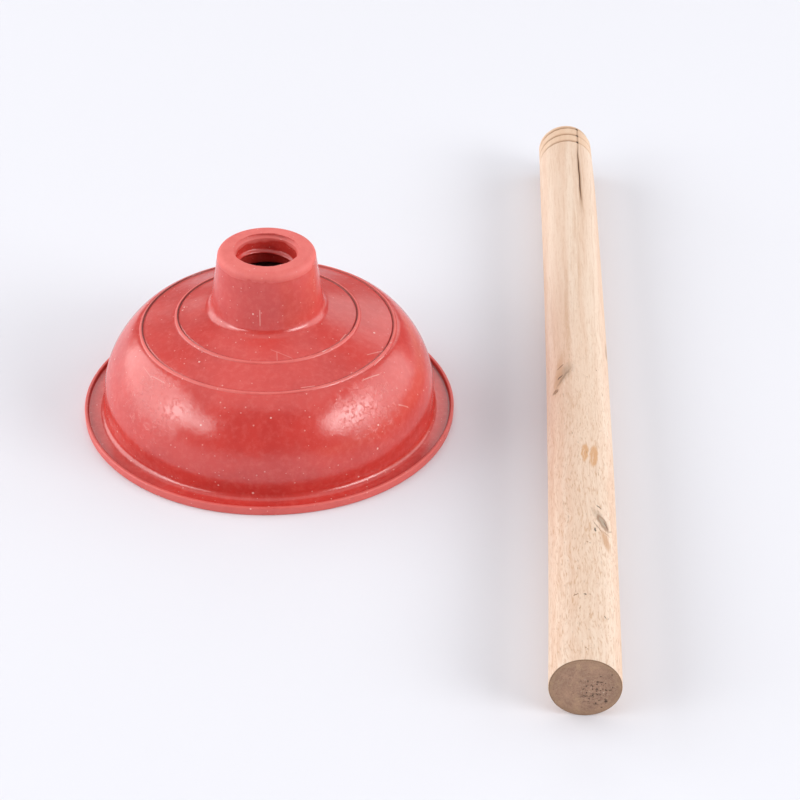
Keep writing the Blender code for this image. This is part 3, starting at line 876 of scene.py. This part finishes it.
def make_side_wood():
    wood = Recipe("pale_wood", stick_center)
    chart = unrolled(wood)
    along = wood.add("ShaderNodeSeparateXYZ", {0: chart}).outputs[1]
    push = wood.vector("SUBTRACT", wood.noise_color(wood.stretch((700, 350, 700)), 3.0), (0.5, 0.5, 0.5))
    push = wood.add("ShaderNodeVectorMath", {0: push, "Scale": 1.6}, operation="SCALE").outputs[0]
    ragged = wood.vector("ADD", chart, push)

    coarse = wood.steps(along, 90.0, 270.0, 1.0, 0.0)
    swirl = wood.noise_color(wood.stretch((45, 38, 45)), 2.0)
    swirl = wood.vector("SUBTRACT", swirl, (0.5, 0.5, 0.5))
    figure = wood.steps(along, 110.0, 230.0, 0.006, 0.002)
    swirl = wood.add("ShaderNodeVectorMath", {0: swirl, "Scale": figure}, operation="SCALE").outputs[0]
    grain_place = wood.vector("ADD", wood.place, swirl)

    bands = wood.noise(wood.stretch((150, 5, 150), place=grain_place), 1.0, 3.0, 0.5, 0.5)
    color = wood.blend(wood.steps(bands, 0.36, 0.66), PALE, CREAM)
    streaks = wood.noise(wood.stretch((420, 10, 420), shift=(3, 1, 2), place=grain_place), 1.0, 4.0, 0.6, 0.4)
    color = wood.blend(wood.steps(streaks, 0.50, 0.76, 0.0, 0.50), color, TAN)
    color = wood.blend(wood.steps(streaks, 0.26, 0.44, 0.55, 0.0), color, PALE)
    fibres = wood.noise(wood.stretch((1400, 70, 1400), place=grain_place), 1.0, 4.0, 0.65, 0.3)
    color = wood.blend(wood.steps(fibres, 0.48, 0.76, 0.0, 0.42), color, TAN)
    fleck_place = wood.stretch((1900, 270, 1900), shift=(7, 5, 1), place=grain_place)
    fleck_field = wood.noise(fleck_place, 1.0, 3.0, 0.55, 0.35)
    shown = wood.math("MULTIPLY_ADD", coarse, 0.58, 0.16)
    flecks = wood.math("MULTIPLY", wood.steps(fleck_field, 0.50, 0.70), shown)
    color = wood.blend(flecks, color, TAN)
    glints = wood.math("MULTIPLY", wood.steps(fleck_field, 0.30, 0.42, 1.0, 0.0), shown)
    color = wood.blend(glints, color, PALE)
    pores = wood.noise(wood.stretch((1700, 330, 1700), shift=(1, 9, 4), place=grain_place), 1.0, 1.0, 0.4)
    pores = wood.math("MULTIPLY", wood.steps(pores, 0.68, 0.76, 0.0, 0.5), shown)
    color = wood.blend(pores, color, BROWN)

    for tone, strength, *shape in WOOD_MARKS:
        mask = mark_mask(wood, ragged, *shape)
        color = wood.blend(wood.math("MULTIPLY", mask, strength), color, tone)
    tip_mm = stick_length / MM
    near_tip = wood.steps(along, tip_mm - 18, tip_mm - 13, 0.0, 0.55)
    color = wood.blend(near_tip, color, RUBBED)
    groove = wood.attribute("groove")
    color = wood.blend(wood.steps(groove, 0.0, 0.9, 0.0, 0.9), color, GROOVE_BROWN)
    stain = wood.attribute("stain")
    color = wood.blend(wood.math("MULTIPLY", stain, 0.85), color, STAIN_BROWN)
    crack = wood.attribute("crack")
    color = wood.blend(wood.steps(crack, 0.2, 1.0, 0.0, 0.85), color, CRACK_BROWN)
    crossing = wood.math("MULTIPLY", groove, stain)
    color = wood.blend(wood.steps(crossing, 0.05, 0.35, 0.0, 0.9), color, DARK)
    for around, from_butt in crack_crossings():
        blob = mark_mask(wood, ragged, around / MM, from_butt / MM, 0.75, 1.3, 0, 0.6)
        color = wood.blend(wood.math("MULTIPLY", blob, 0.9), color, DARK)

    roughness = wood.steps(fibres, 0.3, 0.8, 0.50, 0.68)
    relief = wood.math("SUBTRACT", fibres, wood.math("ADD", wood.math("MULTIPLY", fleck_field, 0.8), pores))
    normal = wood.bump(relief, 0.35, 0.00030)
    wood.shader.inputs["Specular IOR Level"].default_value = 0.4
    return wood.finish(color, roughness, normal)


# %% Wood cut across
END_RING_DARK = (0.310, 0.180, 0.120)
END_RING_PALE = (0.350, 0.213, 0.143)
END_CLOUD = (0.46, 0.275, 0.180)
END_PALE = (0.54, 0.36, 0.21)
END_DARK = (0.20, 0.115, 0.080)
END_SPECK_DARK = (0.17, 0.090, 0.058)
END_SPECK_PALE = (0.58, 0.40, 0.27)
END_PORE = (0.09, 0.05, 0.035)
END_PITH_PALE = (0.62, 0.50, 0.40)
END_BORDER = (0.36, 0.23, 0.13)
END_EDGE = (0.16, 0.085, 0.04)
# The middle of the growth rings, in millimetres from the middle of the sawn end.
PITH = (3.6, 0.0, -1.0)
# Each pore: place to the right of the middle and above it, half width and half height, in millimetres.
BIG_PORES = (
    (2.4, 0.9, 0.22, 0.34), (3.8, 1.8, 0.24, 0.30), (5.4, 2.7, 0.30, 0.20), (6.7, 2.3, 0.18, 0.24),
    (8.6, 6.2, 0.24, 0.26), (2.6, -3.3, 0.30, 0.32), (0.5, -2.0, 0.22, 0.30), (-0.3, -3.4, 0.20, 0.34),
    (4.8, 5.3, 0.30, 0.20), (9.2, 0.6, 0.18, 0.34), (7.3, -5.7, 0.55, 0.42), (6.0, -8.5, 0.36, 0.26),
    (3.9, -6.7, 0.22, 0.42), (1.5, -4.7, 0.18, 0.34), (5.2, -1.0, 0.26, 0.26),
)


def make_end_wood():
    wood = Recipe("sawn_end_grain", stick_center)
    face = wood.stretch((1 / MM, 0, 1 / MM))
    pith = wood.add("ShaderNodeVectorMath", {0: face, 1: PITH}, operation="DISTANCE").outputs["Value"]
    wavy = wood.noise(wood.stretch((190, 0, 190)), 1.0, 4.0, 0.6)
    growth = wood.math("MULTIPLY_ADD", wavy, 5.0, pith)
    rings = wood.math("SINE", wood.math("MULTIPLY", growth, 3.6))
    color = wood.blend(wood.steps(rings, -1.0, 1.0), END_RING_DARK, END_RING_PALE)
    cloud = wood.noise(wood.stretch((150, 0, 150), shift=(4, 0, 1)), 1.0, 4.0, 0.6)
    color = wood.blend(wood.steps(cloud, 0.35, 0.70, 0.0, 0.75), color, END_CLOUD)
    patches = wood.noise(wood.stretch((260, 0, 260), shift=(9, 0, 3)), 1.0, 5.0, 0.7)
    color = wood.blend(wood.steps(patches, 0.50, 0.72, 0.0, 0.60), color, END_PALE)
    color = wood.blend(wood.steps(patches, 0.28, 0.46, 0.55, 0.0), color, END_DARK)
    specks = wood.noise(wood.stretch((1900, 0, 1900)), 1.0, 3.0, 0.6)
    color = wood.blend(wood.steps(specks, 0.52, 0.70, 0.0, 0.45), color, END_SPECK_DARK)
    color = wood.blend(wood.steps(specks, 0.28, 0.42, 0.45, 0.0), color, END_SPECK_PALE)
    spongy = wood.steps(pith, 3.5, 9.0, 1.0, 0.0)
    small_pores = wood.noise(wood.stretch((900, 0, 900), shift=(2, 0, 6)), 1.0, 2.0, 0.5)
    small = wood.math("MULTIPLY", wood.steps(small_pores, 0.56, 0.64), spongy)
    color = wood.blend(wood.math("MULTIPLY", small, 0.85), color, END_PORE)
    pale = wood.math("MULTIPLY", wood.steps(small_pores, 0.30, 0.38, 1.0, 0.0), spongy)
    color = wood.blend(wood.math("MULTIPLY", pale, 0.55), color, END_PITH_PALE)
    holes = 0.0
    for right, up, half_width, half_height in BIG_PORES:
        spot = wood.vector("SUBTRACT", face, (right, 0, up))
        spot = wood.vector("MULTIPLY", spot, (1 / half_width, 0, 1 / half_height))
        away = wood.add("ShaderNodeVectorMath", {0: spot}, operation="LENGTH").outputs["Value"]
        holes = wood.math("MAXIMUM", wood.steps(away, 0.6, 1.4, 1.0, 0.0), holes)
    color = wood.blend(wood.math("MULTIPLY", holes, 0.9), color, DARK)
    from_middle = wood.add("ShaderNodeVectorMath", {0: face}, operation="LENGTH").outputs["Value"]
    color = wood.blend(wood.steps(from_middle, 9.5, 12.2, 0.0, 0.35), color, END_BORDER)
    color = wood.blend(wood.steps(from_middle, 12.0, 12.4, 0.0, 0.6), color, END_EDGE)
    roughness = wood.steps(specks, 0.3, 0.8, 0.72, 0.9)
    relief = wood.math("SUBTRACT", wood.math("MULTIPLY", specks, -0.6), wood.math("MAXIMUM", holes, small))
    normal = wood.bump(relief, 0.5, 0.0004)
    return wood.finish(color, roughness, normal)


stick.data.materials.append(make_side_wood())
stick.data.materials.append(make_end_wood())
print("wood:", [material.name for material in stick.data.materials])

# %% [markdown]
# ## The table and the light
# A white table top fills the picture, as inside a light tent. Two tall panels stand left and right and
# light the sides of both pieces. Two softboxes, a little on the camera's side, give the cup its two window
# highlights. A wide panel above and a weak one behind do the rest. Nothing shines from the camera, so the
# front of the cup stays darker.

# %% Table, sky and softboxes
SKY_LIGHT = 0.14
SKY_SEEN = 0.85
SKY_COLOR = (0.93, 0.94, 1.0, 1.0)
TABLE_WHITE = (0.785, 0.785, 0.83, 1.0)


def make_table():
    shape = bmesh.new()
    bmesh.ops.create_grid(shape, x_segments=1, y_segments=1, size=6.0)
    table = to_object(shape, "table")
    white = Recipe("white_table", (0, 0, 0))
    white.shader.inputs["Base Color"].default_value = TABLE_WHITE
    white.shader.inputs["Roughness"].default_value = 0.85
    white.shader.inputs["Specular IOR Level"].default_value = 0.2
    table.data.materials.append(white.material)


def make_sky():
    """A weak pale sky as light, but a bright one where the camera looks past the table."""
    world = bpy.data.worlds.new("sky")
    bpy.context.scene.world = world
    world.use_nodes = True
    nodes, links = world.node_tree.nodes, world.node_tree.links
    sky = nodes["Background"]
    sky.inputs["Color"].default_value = SKY_COLOR
    path = nodes.new("ShaderNodeLightPath")
    strength = nodes.new("ShaderNodeMapRange")
    strength.inputs["To Min"].default_value = SKY_LIGHT
    strength.inputs["To Max"].default_value = SKY_SEEN
    links.new(path.outputs["Is Camera Ray"], strength.inputs["Value"])
    links.new(strength.outputs["Result"], sky.inputs["Strength"])


def softbox(name, direction, distance, width, height, power):
    """An area light that looks at the middle of the layout from a direction."""
    data = bpy.data.lights.new(name, "AREA")
    data.shape = "RECTANGLE"
    data.size = width
    data.size_y = height
    data.energy = power
    light = bpy.data.objects.new(name, data)
    bpy.context.scene.collection.objects.link(light)
    place = Vector(direction).normalized() * distance
    light.matrix_world = Matrix.Translation(place) @ (-place).to_track_quat("-Z", "Y").to_matrix().to_4x4()


make_table()
make_sky()
softbox("left_softbox", (-0.75, -0.53, 0.39), 2.4, 1.5, 0.6, 13.0)
softbox("right_softbox", (0.82, -0.40, 0.41), 2.4, 1.5, 0.7, 23.0)
softbox("left_panel", (-1.0, 0.1, 0.42), 2.4, 3.4, 1.9, 56.0)
softbox("right_panel", (1.0, 0.1, 0.42), 2.4, 3.4, 1.9, 38.0)
softbox("back_panel", (0.0, 1.0, 0.55), 3.2, 3.2, 1.6, 20.0)
softbox("top_panel", (0.0, -0.05, 1.0), 3.2, 4.8, 4.8, 52.0)
bpy.context.scene.view_settings.view_transform = "Standard"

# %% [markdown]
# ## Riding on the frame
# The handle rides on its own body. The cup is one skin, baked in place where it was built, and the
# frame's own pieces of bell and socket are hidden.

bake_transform(cup)
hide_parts("cup_bell", "cup_socket")
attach(stick, "handle")
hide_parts("handle")
